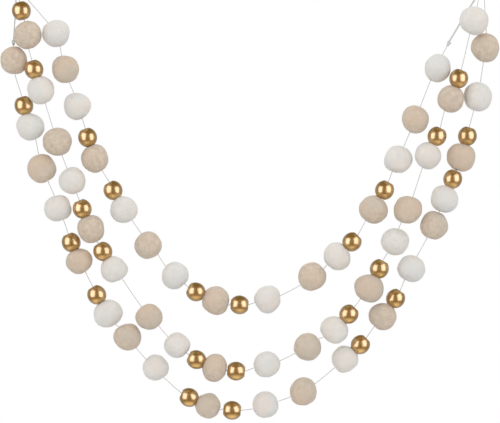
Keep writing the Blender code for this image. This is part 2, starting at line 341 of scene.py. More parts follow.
def over_peg(peg, start, end):
    """Points round a peg from one angle to another."""
    count = max(1, round(abs(end - start) / PEG_STEP))
    angles = [math.radians(start + (end - start) * i / count) for i in range(count + 1)]
    return [peg + Vector((math.cos(a), 0, math.sin(a))) * ON_PEG for a in angles]


print("the thread's middle lies from a peg's middle in mm:", round(ON_PEG / MM, 2))

# %% The thread from ball to ball
# The softer the bend, the more the thread keeps the way of the hole it comes out of. Between two
# balls that all but touch it needs no points of its own.
BEND_STEPS = 10
SOFT_BEND = 0.2
CLOSE_PAIR = 2.0 * MM


def stretch_between(start, ball_before, end, ball_after):
    """Points of a bare stretch: nearly straight, with a soft bend as it leaves and enters."""
    straight = (end - start).normalized()
    reach = (end - start).length
    if reach < CLOSE_PAIR:
        return []
    start_way = straight.lerp(ball_before.hole, SOFT_BEND).normalized()
    end_way = straight.lerp(ball_after.hole, SOFT_BEND).normalized()
    points = []
    for i in range(1, BEND_STEPS):
        t = i / BEND_STEPS
        points.append(
            start * (2 * t**3 - 3 * t**2 + 1)
            + end * (3 * t**2 - 2 * t**3)
            + start_way * (reach * (t**3 - 2 * t**2 + t))
            + end_way * (reach * (t**3 - t**2))
        )
    return points


def through_balls(swag):
    """The thread from the first ball of a swag to the last."""
    route = []
    for i, ball in enumerate(swag):
        if i:
            route += stretch_between(route[-1], swag[i - 1], ball.enter, ball)
        route += [ball.enter, ball.leave]
    return route


print("points through the short swag:", len(through_balls(short)))

# %% The doubled thread of an end loop
# Its two threads lie one spread apart, and from where they gather, below the peg, they close up.
LOOP_SPREAD = 0.78 * MM
LOOP_GATHER = 6.0 * MM

# How far above a knot's middle the doubled thread comes out of it
KNOT_TOP = KNOT_LONG * 0.4


def end_loop(loop, peg):
    """The doubled thread of an end loop: from its knot over the peg and back to the knot."""
    knot, behind = place(loop.knot), place(loop.behind)
    up = (behind - knot).normalized()
    aside = up.cross(Vector((0, 1, 0))).normalized()
    side = 1 if aside.x > 0 else -1
    gather = peg + (behind - peg).normalized() * LOOP_GATHER
    turn = math.radians(loop.turn)
    spread = aside * math.cos(turn) + Vector((0, math.sin(turn), 0))
    half = spread * (LOOP_SPREAD / 2)
    go = leaving_angle(peg, gather, -side) + (360 if side > 0 else 0)
    back = leaving_angle(peg, gather, side)
    return (
        [knot, knot + up * KNOT_TOP]
        + [behind - half, gather - half]
        + over_peg(peg, go, back)
        + [gather + half, behind + half]
        + [knot + up * KNOT_TOP + spread * LOOP_SPREAD]
    )


print("points of an end loop:", len(end_loop(RIGHT_LOOP, right_loop_peg)))

# %% Three stretches, each from a peg
# They stand for one thread: on top of each peg one stretch ends where the next begins, one seam's
# angle to each side of the top, in degrees.
PEG_TOP = 90.0
SEAM = 0.5

short_off = leaving_angle(left_crossing, short[-1].leave, 1)
middle_on = leaving_angle(left_crossing, middle[0].enter, -1) + 360
middle_off = leaving_angle(right_crossing, middle[-1].leave, -1) + 360
long_on = leaving_angle(right_crossing, long[0].enter, 1)

short_route = (
    over_peg(left_crossing, PEG_TOP - SEAM, short_off)
    + through_balls(short)[::-1]
    + end_loop(RIGHT_LOOP, right_loop_peg)
)
middle_route = (
    over_peg(left_crossing, PEG_TOP + SEAM, middle_on)
    + through_balls(middle)
    + over_peg(right_crossing, middle_off, PEG_TOP + SEAM)
)
long_route = (
    over_peg(right_crossing, PEG_TOP - SEAM, long_on)
    + through_balls(long)
    + end_loop(LEFT_LOOP, left_loop_peg)
)
print("points of the routes:", len(short_route), len(middle_route), len(long_route))

# %% [markdown]
# ## The thread
#
# The thread is thin spun cotton, 0.7 mm thick, of three plies twisted together. A plain round tube
# would do at a distance, but close by the twist is what tells a thread from a wire. So the route is
# first cut into evenly spaced points, and then a tube with three ridges is turned along them.

# %% Even steps along a line
RING_STEP = 0.4 * MM


def distance_along(line):
    """How far along a line each of its points lies."""
    return np.concatenate([[0.0], np.cumsum(np.linalg.norm(np.diff(line, axis=0), axis=1))])


def evenly(points, step):
    """The same route with its points one step apart, and its length."""
    line = np.array([tuple(p) for p in points])
    so_far = distance_along(line)
    count = max(2, int(round(so_far[-1] / step)) + 1)
    at = np.linspace(0.0, so_far[-1], count)
    return np.stack([np.interp(at, so_far, line[:, k]) for k in range(3)], axis=1), so_far[-1]


print("points each mm of thread:", round(MM / RING_STEP, 2))

# %% Rings swept along a line
def rings_along(line, first, second, radii, start_turn=0.0):
    """A ring of points round each point of a line, in the plane of two directions across it."""
    turn = np.arange(len(radii)) * math.tau / len(radii) + start_turn
    return (
        line[:, None, :]
        + first[:, None, :] * (np.cos(turn) * radii)[..., None]
        + second[:, None, :] * (np.sin(turn) * radii)[..., None]
    ).reshape(-1, 3)


def ring_faces(rings, sides, start=0, closed=False):
    """Four-sided faces between rings of points; a closed run joins its last ring to its first."""
    faces = []
    for ring in range(rings if closed else rings - 1):
        here = start + ring * sides
        after = start + (ring + 1) % rings * sides
        for k in range(sides):
            beside = (k + 1) % sides
            faces.append((here + k, here + beside, after + beside, after + k))
    return faces


print("faces between two rings of four points:", len(ring_faces(2, 4)))

# %% A piece from points and faces
def new_piece(name, points, faces, finish, smooth=True):
    """A mesh object from points and faces, already in place."""
    mesh = bpy.data.meshes.new(name)
    mesh.from_pydata([tuple(p) for p in points], [], [tuple(f) for f in faces])
    mesh.update()
    if smooth:
        mesh.shade_smooth()
    mesh.materials.append(finish)
    piece = bpy.data.objects.new(name, mesh)
    bpy.context.collection.objects.link(piece)
    return piece


# %% Twisted thread
PLIES = 3
GROOVE = 0.80
TWIST_LONG = 2.8 * MM

# The radii round the thread: each ply is a ridge with two lower points beside it
PLY_RING = np.array([1.0, GROOVE, GROOVE] * PLIES) * (THREAD_THICK / 2)


def upright_frames(line):
    """Two directions across the line at each of its points, carried along without turning."""
    ways = np.gradient(line, axis=0)
    ways /= np.linalg.norm(ways, axis=1, keepdims=True)
    across = np.cross(ways[0], (0.0, 1.0, 0.0))
    firsts = []
    for way in ways:
        across = across - way * np.dot(across, way)
        across /= np.linalg.norm(across)
        firsts.append(across)
    firsts = np.array(firsts)
    return firsts, np.cross(ways, firsts)


def twisted_thread(line):
    """Points and faces of a thread along a line, closed at both ends."""
    first, second = upright_frames(line)
    twist = distance_along(line) * (math.tau / TWIST_LONG)
    points = rings_along(line, first, second, PLY_RING, twist[:, None])
    sides = len(PLY_RING)
    faces = ring_faces(len(line), sides)
    faces.append(tuple(range(sides))[::-1])
    faces.append(tuple(range(len(points) - sides, len(points))))
    return points, faces


print("turns of the plies each cm of thread:", round(10 * MM / TWIST_LONG, 1))

# %% [markdown]
# ## The finish of the thread
#
# Plain cotton is matt and a touch fuzzy, and its tone wanders a little. A picture of cotton could be
# wrapped round the thread, but it would smear at the bends. Noise has no seams: here it picks a tone
# between a deep and a pale one. Fuzz that is seen edge on catches the cool light of the room behind,
# so the sheen is a cool one.

# %% Noise and tones
WANDER_FROM_TO = (0.3, 0.7)


def noise(tree, scale, detail, rough=0.5):
    """Noise that is tied to the object's own coordinates, in cycles per metre."""
    where = tree.nodes.new("ShaderNodeTexCoord")
    made = tree.nodes.new("ShaderNodeTexNoise")
    made.inputs["Scale"].default_value = scale
    made.inputs["Detail"].default_value = detail
    made.inputs["Roughness"].default_value = rough
    tree.links.new(where.outputs["Object"], made.inputs["Vector"])
    return made.outputs["Fac"]


def grey(value):
    """A colour without a hue."""
    return (value, value, value)


def ramp(tree, value, stops):
    """Colours picked by a value: stops are (position, colour)."""
    made = tree.nodes.new("ShaderNodeValToRGB")
    band = made.color_ramp
    while len(band.elements) < len(stops):
        band.elements.new(0.5)
    for stop, (position, colour) in zip(band.elements, stops):
        stop.position = position
        stop.color = (*colour, 1.0)
    tree.links.new(value, made.inputs["Fac"])
    return made.outputs["Color"]


def wandering(tree, scale, detail, deep, pale):
    """A tone that wanders between a deep and a pale one, in cycles per metre."""
    low, high = WANDER_FROM_TO
    return ramp(tree, noise(tree, scale, detail), [(low, deep), (high, pale)])


# %% Cotton
# Grain is fineness: how many times the tone comes and goes in a metre.
COTTON_GRAIN = 900.0
SHEEN_COOL = (0.35, 0.68, 1.0)
SHEEN_ROUGH = 0.5
SOFT_GLINT = 0.2
YARN_ROUGH = 0.9
YARN_SHEEN = 0.2


def new_finish(name):
    """A new material, with its shader and its node tree."""
    made = bpy.data.materials.new(name)
    made.use_nodes = True
    return made, made.node_tree.nodes["Principled BSDF"], made.node_tree


def soft_finish(name, roughness, sheen):
    """A matt cloth-like material, with its shader and its node tree."""
    made, shader, tree = new_finish(name)
    shader.inputs["Roughness"].default_value = roughness
    shader.inputs["Specular IOR Level"].default_value = SOFT_GLINT
    shader.inputs["Sheen Weight"].default_value = sheen
    shader.inputs["Sheen Roughness"].default_value = SHEEN_ROUGH
    shader.inputs["Sheen Tint"].default_value = (*SHEEN_COOL, 1.0)
    return made, shader, tree


def yarn_finish(name, grain, deep, pale):
    """Fine yarn or hair, of a tone that wanders between a deep and a pale one."""
    made, shader, tree = soft_finish(name, YARN_ROUGH, YARN_SHEEN)
    tone = wandering(tree, grain, 3.0, deep, pale)
    tree.links.new(tone, shader.inputs["Base Color"])
    return made


thread_cotton = yarn_finish(
    "thread_cotton", COTTON_GRAIN, deep=(0.52, 0.51, 0.49), pale=(0.66, 0.65, 0.63)
)
print("made", thread_cotton.name, "with", len(thread_cotton.node_tree.nodes), "nodes")

# %% Make the three stretches of thread
# The name of each stretch, its route, where it leaves for, and its real length in metres
Stretch = namedtuple("Stretch", "name route far_end length")
stretches = (
    Stretch("short_swag", short_route, "knot", 0.783),
    Stretch("middle_swag", middle_route, "object", 0.840),
    Stretch("long_swag", long_route, "knot", 0.966),
)
for stretch in stretches:
    line, length = evenly(stretch.route, RING_STEP)
    points, faces = twisted_thread(line)
    thread = new_piece(f"thread_{stretch.name}", points, faces, thread_cotton)
    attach(thread, "root")
    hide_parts(f"thread_and_white_balls_{stretch.name}")
    print(thread.name, "measures", round(length, 3), "m,", len(faces), "faces")

# %% [markdown]
# ## The knots of the end loops
#
# Each end of the thread is doubled back and tied in a simple overhand knot. A ball would be too
# smooth for that: a knot shows strands that cross. A trefoil curve, the simplest knot there is, gives
# such crossing strands. The strand that is swept along it has a groove down each side, because the
# thread is tied double, and it is so thick that the knot closes up as a tight one does.

# %% The line of a knot
KNOT_STEPS = 96
KNOT_STRAND_WIDE = 1.5 * MM
KNOT_STRAND_THIN = 0.85 * MM
KNOT_DEEP_SHARE = 0.6


def knot_line(loop):
    """A closed trefoil curve, pulled out along the thread."""
    knot = place(loop.knot)
    up = (place(loop.behind) - knot).normalized()
    aside = up.cross(Vector((0, 1, 0))).normalized()
    out = up.cross(aside)
    wide = (KNOT_THICK - KNOT_STRAND_THIN) / 2
    tall = (KNOT_LONG - KNOT_STRAND_THIN) / 2
    deep = wide * KNOT_DEEP_SHARE
    line = []
    for i in range(KNOT_STEPS):
        t = math.tau * i / KNOT_STEPS
        x = (math.sin(t) + 2 * math.sin(2 * t)) / 3
        z = (math.cos(t) - 2 * math.cos(2 * t)) / 3
        y = -math.sin(3 * t)
        line.append(knot + aside * (wide * x) + up * (tall * z) + out * (deep * y))
    return np.array([tuple(p) for p in line])


print("points on a knot's line:", len(knot_line(RIGHT_LOOP)))

# %% Make the two knots
# In the photo the knots show paler than the thread, so they have a cotton of their own.
KNOT_SIDES = 12
KNOT_GRAIN = 1400.0
# This paler cotton is painted light: the knot is tied of the same thread, and the shade in its tight
# folds would show it darker.
painted_light_knot_cotton = yarn_finish(
    "painted_light_knot_cotton", KNOT_GRAIN, deep=(0.63, 0.62, 0.60), pale=(0.76, 0.75, 0.73)
)


def double_ring():
    """The radii round a doubled strand: wide across its two threads, thin where they meet."""
    turn = np.arange(KNOT_SIDES) * math.tau / KNOT_SIDES
    return (KNOT_STRAND_THIN + (KNOT_STRAND_WIDE - KNOT_STRAND_THIN) * abs(np.cos(turn))) / 2


def knotted_strand(line):
    """Points and faces of the doubled strand along a closed line, one of its threads further out."""
    ways = np.roll(line, -1, axis=0) - np.roll(line, 1, axis=0)
    ways /= np.linalg.norm(ways, axis=1, keepdims=True)
    first = line - line.mean(axis=0)
    first -= ways * np.sum(first * ways, axis=1, keepdims=True)
    first /= np.linalg.norm(first, axis=1, keepdims=True)
    points = rings_along(line, first, np.cross(ways, first), double_ring())
    return points, ring_faces(len(line), KNOT_SIDES, closed=True)


for side, loop, swag_name in (
    ("right", RIGHT_LOOP, "short_swag"),
    ("left", LEFT_LOOP, "long_swag"),
):
    knot = new_piece(f"knot_{side}", *knotted_strand(knot_line(loop)), painted_light_knot_cotton)
    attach(knot, "root")
    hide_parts(f"thread_and_white_balls_{swag_name}")
    print(knot.name, "has", len(knot.data.polygons), "faces")

# %% [markdown]
# ## The felt balls
#
# A felt ball is wool, rolled wet by hand until it mats. It is never quite round: it has soft corners
# and dents, it is pressed flat where it lies against a neighbour, the thread pulls its two mouths in,
# and loose wool hairs lie on it. A plain sphere with bump would keep a perfect outline, so each ball
# is a mesh of its own. Its rings run from one mouth to the other, and its points are moved.

# %% The mesh that every felt ball starts from
FELT_SIDES = 88
FELT_RINGS = 43


def outward_ways():
    """The way from a ball's middle to each point of its mesh, from one mouth to the other."""
    rise = np.linspace(-math.pi / 2, math.pi / 2, FELT_RINGS + 2)[1:-1]
    turn = np.arange(FELT_SIDES) * math.tau / FELT_SIDES
    ways = np.stack(
        [
            np.outer(np.cos(rise), np.cos(turn)),
            np.outer(np.cos(rise), np.sin(turn)),
            np.outer(np.sin(rise), np.ones_like(turn)),
        ],
        axis=-1,
    ).reshape(-1, 3)
    return np.concatenate([[(0.0, 0.0, -1.0)], ways, [(0.0, 0.0, 1.0)]])


def felt_faces():
    """Faces of that mesh: triangles round each mouth, and four-sided faces between the rings."""
    last_ring = 1 + (FELT_RINGS - 1) * FELT_SIDES
    last = last_ring + FELT_SIDES
    faces = []
    for k in range(FELT_SIDES):
        beside = (k + 1) % FELT_SIDES
        faces.append((0, 1 + beside, 1 + k))
        faces.append((last_ring + k, last_ring + beside, last))
    return faces + ring_faces(FELT_RINGS, FELT_SIDES, start=1)


print("points on a felt ball:", len(outward_ways()), "faces:", len(felt_faces()))

# %% Lumps of a hand-rolled ball
# Each row is one size of lump: how long it is from crest to crest, how high, and how many waves
# together make it.
Lump = namedtuple("Lump", "length height count")
FELT_LUMPS = (
    Lump(19.0 * MM, 0.30 * MM, 8),
    Lump(8.0 * MM, 0.09 * MM, 12),
    Lump(2.4 * MM, 0.03 * MM, 22),
)
WAVE_SPREAD = (0.8, 1.3)

# A power of 2 is a round ball, and a higher one has soft corners
BOXY = (2.0, 2.35)
BOXY_SHARE = 0.6
FELT_SWELL = 0.15 * MM


def waves(points, dice, lump):
    """Smooth lumps of about one length and height: many waves that run in chance directions."""
    ways = dice.normal(size=(lump.count, 3))
    ways /= np.linalg.norm(ways, axis=1, keepdims=True)
    ways *= math.tau / (lump.length * dice.uniform(*WAVE_SPREAD, size=(lump.count, 1)))
    starts = dice.uniform(0.0, math.tau, size=lump.count)
    height = lump.height * math.sqrt(2.0 / lump.count)
    return np.sin(points @ ways.T + starts).sum(axis=1) * height


def rolled_ball(ball, dice):
    """Points of one hand-rolled ball, from its middle and in its own three directions."""
    ways = outward_ways()
    half = np.array([ball.across, ball.across, ball.along]) / 2
    boxy = dice.uniform(*BOXY)
    boxy_radius = (np.abs(ways / half) ** boxy).sum(axis=1) ** (-1.0 / boxy)
    round_radius = ((ways / half) ** 2).sum(axis=1) ** -0.5
    radius = round_radius + (boxy_radius - round_radius) * BOXY_SHARE + FELT_SWELL
    rolled = ways * radius[:, None]
    for lump in FELT_LUMPS:
        rolled += ways * waves(rolled, dice, lump)[:, None]
    return rolled


print("sizes of lumps on a felt ball in mm:", [round(lump.length / MM, 1) for lump in FELT_LUMPS])

# %% Mouths pulled in, and flats where neighbours press
MOUTH_DEEP = 1.0 * MM
MOUTH_WIDE = 1.5 * MM
PRESS_CLEAR = 0.08 * MM


def pull_mouth(rolled, spot):
    """Draw the surface in round the spot where the thread goes through it."""
    from_mouth = np.linalg.norm(rolled - spot, axis=1)
    pull = MOUTH_DEEP * np.exp(-((from_mouth / MOUTH_WIDE) ** 2))
    return rolled - spot / np.linalg.norm(spot) * pull[:, None]


def pressed(points, ball, neighbours):
    """Points of a felt ball, moved back where a neighbour presses on it."""
    middle_point = np.array(ball.middle)
    for other in neighbours:
        other_middle = np.array(other.middle)
        if other.kind == "gold":
            seen = points - other_middle
            far = np.linalg.norm(seen, axis=1)
            inside = far < GOLD_ACROSS / 2 + PRESS_CLEAR
            out = seen[inside] / far[inside, None]
            points[inside] = other_middle + out * (GOLD_ACROSS / 2 + PRESS_CLEAR)
        else:
            away = other_middle - middle_point
            apart = np.linalg.norm(away)
            away /= apart
            share = ball.across / (ball.across + other.across)
            limit = apart * share - PRESS_CLEAR / 2
            over = np.maximum((points - middle_point) @ away - limit, 0.0)
            points -= away * over[:, None]
    return points


def ball_frame(ball):
    """Three directions of a ball: two across its hole and one along it."""
    turn = Vector((0, 0, 1)).rotation_difference(ball.hole).to_matrix()
    return np.array([tuple(turn.col[k]) for k in range(3)])


def felt_surface(ball, dice, neighbours):
    """Points of one felt ball in its place."""
    directions = ball_frame(ball)
    rolled = rolled_ball(ball, dice)
    for end in (ball.enter, ball.leave):
        rolled = pull_mouth(rolled, directions @ np.array(end - ball.middle))
    return pressed(np.array(ball.middle) + rolled @ directions, ball, neighbours)


print("a mouth is pulled in by mm:", MOUTH_DEEP / MM)

# %% [markdown]
# ## Loose hairs
#
# A hand-rolled ball keeps some loose wool: most hairs lie flat on it, and some stand off at a tip and
# make its outline soft. Hair curves could be grown on it, but here every visible piece has to be a
# mesh. So each hair is a thin three-sided tube that narrows to its ends, bent over its ball.

# %% The lines of the hairs
HAIRS = 300
HAIR_THICK = 0.04 * MM
HAIR_CLEAR = HAIR_THICK * 0.3
HAIR_LONG = (1.5 * MM, 5.0 * MM)
HAIR_LIFT = (0.02 * MM, 0.35 * MM)
HAIR_SWAY = 0.35
STANDING_SHARE = 0.35
STANDING_TIP = (0.25 * MM, 1.1 * MM)

# How thick a hair is at each step from end to end
HAIR_TAPER = (0.35, 1.0, 1.0, 0.35)


def hair_lines(surface, ball, dice):
    """The hairs' middle points, step by step from end to end, and two directions across each."""
    middle_point = np.array(ball.middle)
    roots = surface[dice.integers(1, len(surface) - 1, size=HAIRS)]
    outs = roots - middle_point
    radius = np.linalg.norm(outs, axis=1)
    outs /= radius[:, None]
    heading = dice.normal(size=(HAIRS, 3))
    along = heading - outs * np.sum(heading * outs, axis=1, keepdims=True)
    along /= np.linalg.norm(along, axis=1, keepdims=True)
    curl = np.cross(outs, along)
    length = dice.uniform(*HAIR_LONG, size=HAIRS)
    lift = dice.uniform(*HAIR_LIFT, size=HAIRS) * dice.uniform(0.0, 1.0, size=HAIRS) ** 2
    sway = dice.uniform(-HAIR_SWAY, HAIR_SWAY, size=HAIRS)
    stands = dice.uniform(size=HAIRS) < STANDING_SHARE
    tip = np.where(stands, dice.uniform(*STANDING_TIP, size=HAIRS), 0.0)
    steps = []
    for t in np.linspace(0.0, 1.0, len(HAIR_TAPER)):
        arch = 4 * t * (1 - t)
        way = along * ((t - 0.5) * length)[:, None] + curl * (sway * length * arch)[:, None]
        seen = outs * radius[:, None] + way
        seen /= np.linalg.norm(seen, axis=1, keepdims=True)
        height = radius + HAIR_CLEAR + lift * arch + tip * t**2
        steps.append(middle_point + seen * height[:, None])
    return steps, outs, curl


print("hairs on a felt ball:", HAIRS)

# %% The hairs as thin tubes
HAIR_SIDES = 3


def hairs(surface, ball, dice, neighbours):
    """Points and faces of the wool hairs on one ball."""
    steps, outs, curl = hair_lines(surface, ball, dice)
    points = []
    for spot, share in zip(steps, HAIR_TAPER):
        for k in range(HAIR_SIDES):
            turn = math.tau * k / HAIR_SIDES
            side = outs * math.cos(turn) + curl * math.sin(turn)
            points.append(pressed(spot + side * (share * HAIR_THICK / 2), ball, neighbours))
    corners = len(points)
    faces = []
    for hair in range(HAIRS):
        first = hair * corners
        last = first + corners - HAIR_SIDES
        faces.append((first, first + 2, first + 1))
        faces.append((last, last + 1, last + 2))
        faces += ring_faces(len(HAIR_TAPER), HAIR_SIDES, start=first)
    return np.stack(points, axis=1).reshape(-1, 3), faces


print("corners of one hair:", len(HAIR_TAPER) * HAIR_SIDES)

# %% [markdown]
# ## The finish of the felt
#
# The wool isn't dyed, so its tone wanders: there is a fine grain of light and shade between fibres,
# and there are faint warm and cool patches. A picture of felt could be laid on, but then all balls
# would show the same marks. Noise in the object's own coordinates gives each ball marks of its own,
# and single fibres, which are too fine for the mesh, are a bump of thin ridges.

# %% Matted wool
FELT_ROUGH = 0.95
FELT_SHEEN = 0.14
FELT_GRAIN = 260.0
FELT_BAND = ((0.36, grey(0.0)), (0.62, grey(1.0)))
MATTED_GRAIN = 1100.0
MATTED_CURL = 1.6
MATTED_DEEP = 0.07 * MM

# How fine a patch is, in cycles per metre, and between which values of the noise it sets in
Patch = namedtuple("Patch", "scale low high")
WARM_PATCH = Patch(31.0, 0.47, 0.60)
COOL_PATCH = Patch(38.0, 0.49, 0.62)
PATCH_SHARE = 0.8


def bump(tree, shader, height, depth):
    """Small relief from a height value, depth metres deep."""
    made = tree.nodes.new("ShaderNodeBump")
    made.inputs["Strength"].default_value = 1.0
    made.inputs["Distance"].default_value = depth
    tree.links.new(height, made.inputs["Height"])
    tree.links.new(made.outputs["Normal"], shader.inputs["Normal"])


def matted(tree, scale, curl):
    """A tangle of thin ridges, like matted fibres, in cycles per metre."""
    where = tree.nodes.new("ShaderNodeTexCoord")
    made = tree.nodes.new("ShaderNodeTexNoise")
    made.noise_type = "RIDGED_MULTIFRACTAL"
    made.inputs["Scale"].default_value = scale
    made.inputs["Detail"].default_value = 2.0
    made.inputs["Offset"].default_value = 1.0
    made.inputs["Gain"].default_value = 1.0
    made.inputs["Distortion"].default_value = curl
    tree.links.new(where.outputs["Object"], made.inputs["Vector"])
    return made.outputs["Fac"]


def blended(tree, share, first, second):
    """Two tones blended by a share; each is a colour or comes out of another node."""
    made = tree.nodes.new("ShaderNodeMix")
    made.data_type = "RGBA"
    tree.links.new(share, made.inputs["Factor"])
    for socket, tone in (("A", first), ("B", second)):
        if isinstance(tone, tuple):
            made.inputs[socket].default_value = (*tone, 1.0)
        else:
            tree.links.new(tone, made.inputs[socket])
    return made.outputs["Result"]


def felt_finish(name, pale, deep, warm, cool):
    """Matted wool between a pale and a deep tone, with faint patches of a warm and a cool one."""
    made, shader, tree = soft_finish(name, FELT_ROUGH, FELT_SHEEN)
    grain = noise(tree, FELT_GRAIN, detail=6.0, rough=0.68)
    tone = blended(tree, ramp(tree, grain, FELT_BAND), deep, pale)
    for patch, colour in ((WARM_PATCH, warm), (COOL_PATCH, cool)):
        band = ((patch.low, grey(0.0)), (patch.high, grey(PATCH_SHARE)))
        tone = blended(tree, ramp(tree, noise(tree, patch.scale, 2.0), band), tone, colour)
    tree.links.new(tone, shader.inputs["Base Color"])
    bump(tree, shader, matted(tree, MATTED_GRAIN, MATTED_CURL), MATTED_DEEP)
    return made


# %% White and beige wool
HAIR_GRAIN = 60.0
white_felt = felt_finish(
    "white_felt",
    pale=(0.845, 0.81, 0.75),
    deep=(0.77, 0.735, 0.68),
    warm=(0.835, 0.765, 0.69),
    cool=(0.775, 0.77, 0.74),
)
beige_felt = felt_finish(
    "beige_felt",
    pale=(0.74, 0.623, 0.497),
    deep=(0.602, 0.483, 0.369),
    warm=(0.695, 0.553, 0.42),
    cool=(0.635, 0.555, 0.455),
)
# The loose hairs are the same wool as their felt, but they get a paler copy of it. That is painted
# light: it keeps the shade that the thin hairs throw on themselves and on the felt from showing them
# dark.
painted_light_white_wool = yarn_finish(
    "white_wool_hair", HAIR_GRAIN, deep=(0.86, 0.83, 0.78), pale=(0.92, 0.89, 0.85)
)
painted_light_beige_wool = yarn_finish(
    "beige_wool_hair", HAIR_GRAIN, deep=(0.72, 0.60, 0.48), pale=(0.82, 0.71, 0.58)
)
print("made", white_felt.name, beige_felt.name, painted_light_white_wool.name, painted_light_beige_wool.name)

# %% Make every felt ball
SWAG_OF = {"short_swag": short, "middle_swag": middle, "long_swag": long}
WOOL_OF = {"white": (white_felt, painted_light_white_wool), "beige": (beige_felt, painted_light_beige_wool)}
SEED = 52
SEED_STEP = 100

# Balls with less than this between them may press on each other
NEAR = 1.0 * MM


def near_balls(ball):
    """The balls that lie close enough to press on this one."""
    near = []
    for other in balls:
        reach = (max(ball.across, ball.along) + max(other.across, other.along)) / 2 + NEAR
        if other is not ball and (other.middle - ball.middle).length < reach:
            near.append(other)
    return near


count = {"white": 0, "beige": 0}
for swag_name, swag in SWAG_OF.items():
    for ball in swag:
        if ball.kind == "gold":
            continue
        count[ball.kind] += 1
        dice = np.random.default_rng(SEED + count["white"] + SEED_STEP * count["beige"])
        near = near_balls(ball)
        surface = felt_surface(ball, dice, near)
        fuzz, fuzz_faces = hairs(surface, ball, dice, near)
        faces = felt_faces()
        wool_starts = len(faces)
        faces += [tuple(len(surface) + i for i in face) for face in fuzz_faces]
        felt, wool = WOOL_OF[ball.kind]
        name = f"{ball.kind}_felt_{count[ball.kind]:02d}"
        piece = new_piece(name, np.concatenate([surface, fuzz]), faces, felt)
        piece.data.materials.append(wool)
        is_wool = np.zeros(len(faces), dtype=np.int32)
        is_wool[wool_starts:] = 1
        piece.data.polygons.foreach_set("material_index", is_wool)
        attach(piece, "root")
        if ball.kind == "white":
            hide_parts(f"thread_and_white_balls_{swag_name}")
        else:
            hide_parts(f"beige_ball_{count['beige']:02d}")
print("felt balls:", count, "faces each:", len(faces))

# %% [markdown]
# ## The gold beads
#
# The gold beads are turned wood with a coat of gold paint: round, with a small flat at each end of
# the hole. Turning is what a lathe does, so the mesh is made the same way: one outline, swept round
# the hole's axis. The Spin tool or the Screw modifier would do it too, but for them the outline has
# to be drawn first, and here a few sizes give it.

# %% The outline of a bead
BEAD_FLAT = 8.2 * MM
BEAD_HOLE = 2.4 * MM
BEAD_EDGE = 0.5 * MM
HOLE_BREAK = BEAD_EDGE * 0.3
FLAT_INSET = BEAD_EDGE * 0.6
BEAD_ARC_STEPS = 16

# The arc ends this share of the way up, so that a narrow slope joins it to the flat
ARC_SHARE = 0.985


def bead_outline():
    """The bead's outline from one hole edge to the other, as (radius, height)."""
    half = GOLD_ALONG / 2
    edge = math.acos(BEAD_FLAT / GOLD_ACROSS)
    arc = []
    for i in range(BEAD_ARC_STEPS + 1):
        a = -edge + 2 * edge * i / BEAD_ARC_STEPS
        height = half * math.sin(a) / math.sin(edge) * ARC_SHARE
        arc.append((GOLD_ACROSS / 2 * math.cos(a), height))
    lower = [
        (BEAD_HOLE / 2, -half + BEAD_EDGE),
        (BEAD_HOLE / 2 + HOLE_BREAK, -half + HOLE_BREAK),
        (BEAD_HOLE / 2 + BEAD_EDGE, -half),
        (BEAD_FLAT / 2 - FLAT_INSET, -half),
    ]
    upper = [(r, -z) for r, z in reversed(lower)]
    return lower + arc + upper


print("points on a bead's outline:", len(bead_outline()))

# %% The bead turned round its hole
BEAD_SIDES = 40

# A bead's lumps, whose height is a share of its radius
BEAD_LUMPS = Lump(9.0 * MM, 0.0012, 8)


def turned_bead(ball, dice):
    """Points and faces of a bead in its place."""
    outline = bead_outline()
    turn = np.arange(BEAD_SIDES) * math.tau / BEAD_SIDES
    rings = np.array(
        [[(r * math.cos(a), r * math.sin(a), z) for a in turn] for r, z in outline]
    ).reshape(-1, 3)
    rings *= 1.0 + waves(rings, dice, BEAD_LUMPS)[:, None]
    points = np.array(ball.middle) + rings @ ball_frame(ball)
    return points, ring_faces(len(outline), BEAD_SIDES, closed=True)


print("points on a bead:", len(bead_outline()) * BEAD_SIDES)

# %% [markdown]
# ## The gold paint
#
# The paint shines like satin: it mirrors the room and the soft boxes, but softly. A yellow colour on
# a dull surface would look like plastic. So the shader is a metal under a clear coat, and what it
# reflects gives the bead its light and dark. It is brushed on, so its tone and gloss are uneven.

# %% Gold paint
GOLD_DEEP = (0.62, 0.415, 0.155)
GOLD_PALE = (0.68, 0.465, 0.185)
TONE_GRAIN = 260.0
GOLD_SMOOTH = 0.27
GOLD_DULL = 0.32
GLOSS_GRAIN = 700.0
COAT_ROUGH = 0.18
BRUSH_GRAIN = 900.0
BRUSH_DEEP = 0.006 * MM


def gold_finish():
    """Satin gold paint: brushed on, so a little uneven in tone and gloss."""
    made, shader, tree = new_finish("gold_paint")
    shader.inputs["Metallic"].default_value = 1.0
    shader.inputs["Coat Weight"].default_value = 1.0
    shader.inputs["Coat Roughness"].default_value = COAT_ROUGH
    tone = wandering(tree, TONE_GRAIN, 3.0, GOLD_DEEP, GOLD_PALE)
    tree.links.new(tone, shader.inputs["Base Color"])
    gloss = wandering(tree, GLOSS_GRAIN, 2.0, grey(GOLD_SMOOTH), grey(GOLD_DULL))
    tree.links.new(gloss, shader.inputs["Roughness"])
    bump(tree, shader, noise(tree, BRUSH_GRAIN, 3.0), BRUSH_DEEP)
    return made


gold_paint = gold_finish()
print("made", gold_paint.name, "with", len(gold_paint.node_tree.nodes), "nodes")

# %% Make every gold bead
GOLD_SEED = SEED + 1000
gold_balls = [ball for ball in balls if ball.kind == "gold"]
for number, ball in enumerate(gold_balls, start=1):
    dice = np.random.default_rng(GOLD_SEED + number)
    bead = new_piece(f"gold_{number:02d}", *turned_bead(ball, dice), gold_paint)
    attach(bead, "root")
    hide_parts(f"gold_bead_{number:02d}")
print("gold beads:", len(gold_balls), "faces each:", len(bead.data.polygons))

